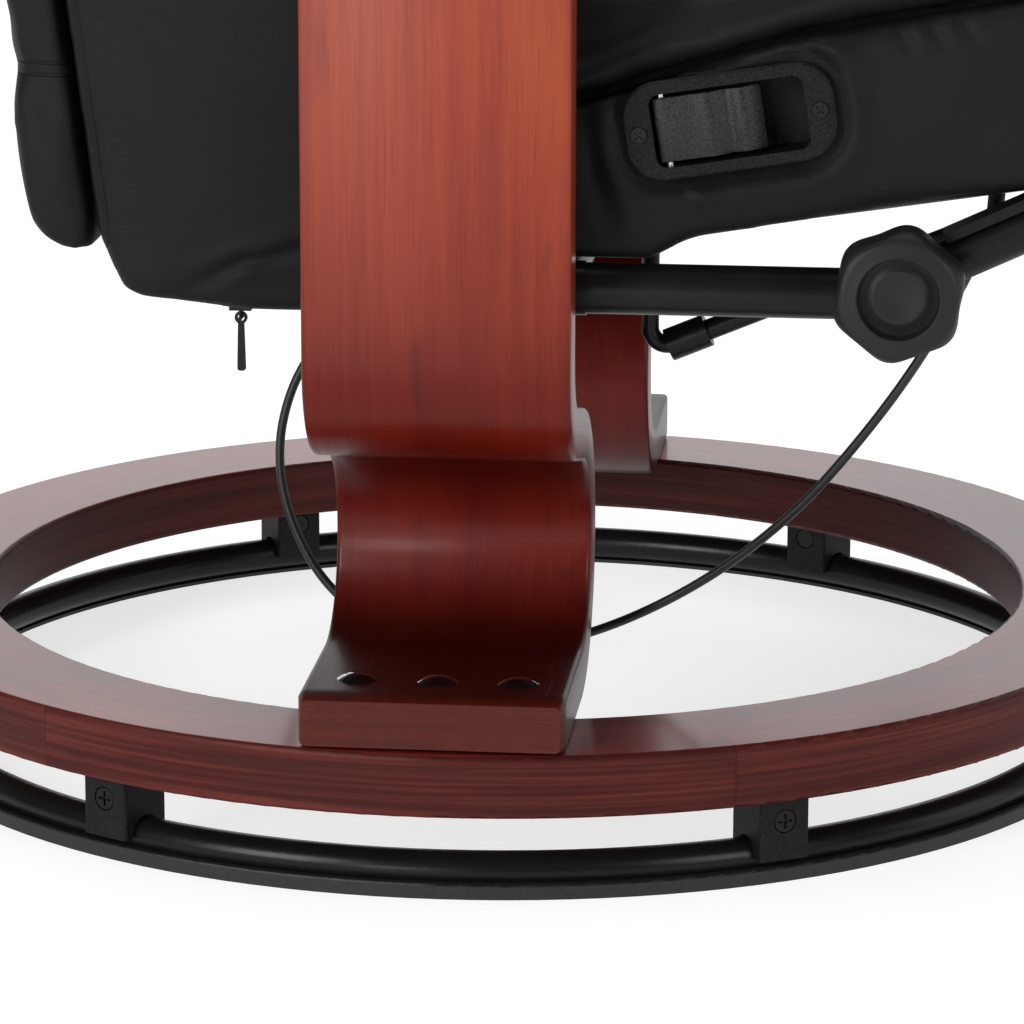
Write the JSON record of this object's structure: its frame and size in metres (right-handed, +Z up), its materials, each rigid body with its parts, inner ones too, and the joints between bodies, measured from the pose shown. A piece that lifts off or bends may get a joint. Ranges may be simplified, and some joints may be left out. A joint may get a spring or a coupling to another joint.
{
  "type": "swivel recliner",
  "caption": "Reclining armchair on a swivelling round bentwood base, with a tilting seat, a lockable backrest and channelled leather cushions.",
  "frame": {"origin": "on the floor, on the swivel axis, under the middle of the chair", "axes": "+X to the front of the chair, +Y to the sitter's left, +Z up"},
  "size_m": [0.7696, 0.748, 1.02],
  "materials": {
    "ring_wood": "satin",
    "arm_wood": "satin",
    "black_steel": "satin",
    "track_steel": "satin",
    "plain_steel": "satin",
    "black_screws": "satin",
    "strut_chrome": "polished",
    "black_plastic": "matte",
    "knob_plastic": "matte",
    "roller_plastic": "matte",
    "cap_plastic": "gloss",
    "floor_plastic": "satin",
    "cable_sheath": "satin",
    "leather": "satin",
    "foam": "matte",
    "webbing": "matte",
    "zip_metal": "satin"
  },
  "bodies": {
    "base": {"floor_ring": "track_steel", "floor_strip": "floor_plastic"},
    "carriage": {"wood_ring": "ring_wood", "roller_brackets": "black_plastic", "roller_axles": "black_screws", "upright_left": "arm_wood", "upright_right": "arm_wood", "foot_bolts": "plain_steel", "bolt_caps": "cap_plastic", "frame_tube_left": "black_steel", "frame_tube_right": "black_steel", "mount_plates": "black_steel", "plate_bolts": "black_screws", "cross_tube": "black_steel", "pivot_bolts": "plain_steel", "arm_boards": "arm_wood", "arm_pad_left": "leather", "arm_pad_right": "leather", "arm_screws": "plain_steel"},
    "roller_1": {"roller_1": "roller_plastic"},
    "roller_2": {"roller_2": "roller_plastic"},
    "roller_3": {"roller_3": "roller_plastic"},
    "roller_4": {"roller_4": "roller_plastic"},
    "roller_5": {"roller_5": "roller_plastic"},
    "roller_6": {"roller_6": "roller_plastic"},
    "knob_left": {"knob_left": "knob_plastic"},
    "knob_right": {"knob_right": "knob_plastic"},
    "seat": {"seat_frame": "black_steel", "seat_arm_left": "black_steel", "seat_arm_right": "black_steel", "seat_webbing": "webbing", "seat_core": "foam", "seat_cushion": "leather", "seat_side_left": "leather", "seat_side_right": "leather", "hinge_bolts": "plain_steel", "stay_rods": "black_steel", "stay_sleeves": "black_steel", "strut_cylinder": "black_steel", "strut_front_pin": "plain_steel", "handle_bezel": "black_plastic", "handle_screws": "black_screws", "handle_pin": "plain_steel", "handle_spring": "plain_steel", "release_cable": "cable_sheath", "cable_fittings": "black_plastic"},
    "handle_flap": {"handle_flap": "black_plastic"},
    "strut_rod": {"strut_rod": "strut_chrome"},
    "back": {"back_frame": "black_steel", "back_webbing": "webbing", "back_core": "foam", "back_side_left": "leather", "back_side_right": "leather", "rear_panel": "leather", "lumbar_cushion": "leather", "upper_cushion": "leather", "head_cushion": "leather", "strut_rear_pin": "plain_steel", "zip_slider": "zip_metal"},
    "zip_pull": {"zip_pull": "zip_metal"}
  },
  "joints": [
    {"name": "swivel", "type": "hinge", "parent": "base", "child": "carriage", "pos_m": [0, 0, 0.0605], "axis": [0, 0, 1], "continuous": true},
    {"name": "roller_spin_1", "type": "hinge", "parent": "carriage", "child": "roller_1", "pos_m": [0.325, 0, 0.032], "axis": [1, 0, 0], "continuous": true},
    {"name": "roller_spin_2", "type": "hinge", "parent": "carriage", "child": "roller_2", "pos_m": [0.1625, 0.28146, 0.032], "axis": [0.5, 0.866, 0], "continuous": true},
    {"name": "roller_spin_3", "type": "hinge", "parent": "carriage", "child": "roller_3", "pos_m": [-0.1625, 0.28146, 0.032], "axis": [-0.5, 0.866, 0], "continuous": true},
    {"name": "roller_spin_4", "type": "hinge", "parent": "carriage", "child": "roller_4", "pos_m": [-0.325, 0, 0.032], "axis": [-1, 0, 0], "continuous": true},
    {"name": "roller_spin_5", "type": "hinge", "parent": "carriage", "child": "roller_5", "pos_m": [-0.1625, -0.28146, 0.032], "axis": [-0.5, -0.866, 0], "continuous": true},
    {"name": "roller_spin_6", "type": "hinge", "parent": "carriage", "child": "roller_6", "pos_m": [0.1625, -0.28146, 0.032], "axis": [0.5, -0.866, 0], "continuous": true},
    {"name": "knob_turn_left", "type": "hinge", "parent": "carriage", "child": "knob_left", "pos_m": [0.221, 0.305, 0.3], "axis": [0, 1, 0], "range_deg": [0, 360]},
    {"name": "knob_turn_right", "type": "hinge", "parent": "carriage", "child": "knob_right", "pos_m": [0.221, -0.305, 0.3], "axis": [0, -1, 0], "range_deg": [0, 360]},
    {"name": "seat_tilt", "type": "hinge", "parent": "carriage", "child": "seat", "pos_m": [0.221, 0, 0.3], "axis": [0, 1, 0], "range_deg": [0, 10]},
    {"name": "recline", "type": "hinge", "parent": "seat", "child": "back", "pos_m": [-0.04, 0, 0.3], "axis": [0, -1, 0], "range_deg": [0, 30]},
    {"name": "strut_travel", "type": "slide", "parent": "seat", "child": "strut_rod", "axis": [0.9821, 0, 0.1884], "range_m": [0, 0.02356]},
    {"name": "handle_pull", "type": "hinge", "parent": "seat", "child": "handle_flap", "pos_m": [0.10691, -0.2806, 0.37364], "axis": [0.1599, 0, -0.9871], "range_deg": [0, 40], "stiffness_Nm_per_rad": 0.02},
    {"name": "zip_pull_swing", "type": "hinge", "parent": "back", "child": "zip_pull", "pos_m": [-0.1055, -0.25, 0.2701], "axis": [0, 1, 0], "range_deg": [-35, 35]}
  ],
  "couplings": [
    {"joint": "roller_spin_1", "follows": "swivel", "ratio": -29.817},
    {"joint": "roller_spin_2", "follows": "swivel", "ratio": -29.817},
    {"joint": "roller_spin_3", "follows": "swivel", "ratio": -29.817},
    {"joint": "roller_spin_4", "follows": "swivel", "ratio": -29.817},
    {"joint": "roller_spin_5", "follows": "swivel", "ratio": -29.817},
    {"joint": "roller_spin_6", "follows": "swivel", "ratio": -29.817},
    {"joint": "strut_travel", "follows": "recline", "m_per_rad": 0.044725}
  ]
}
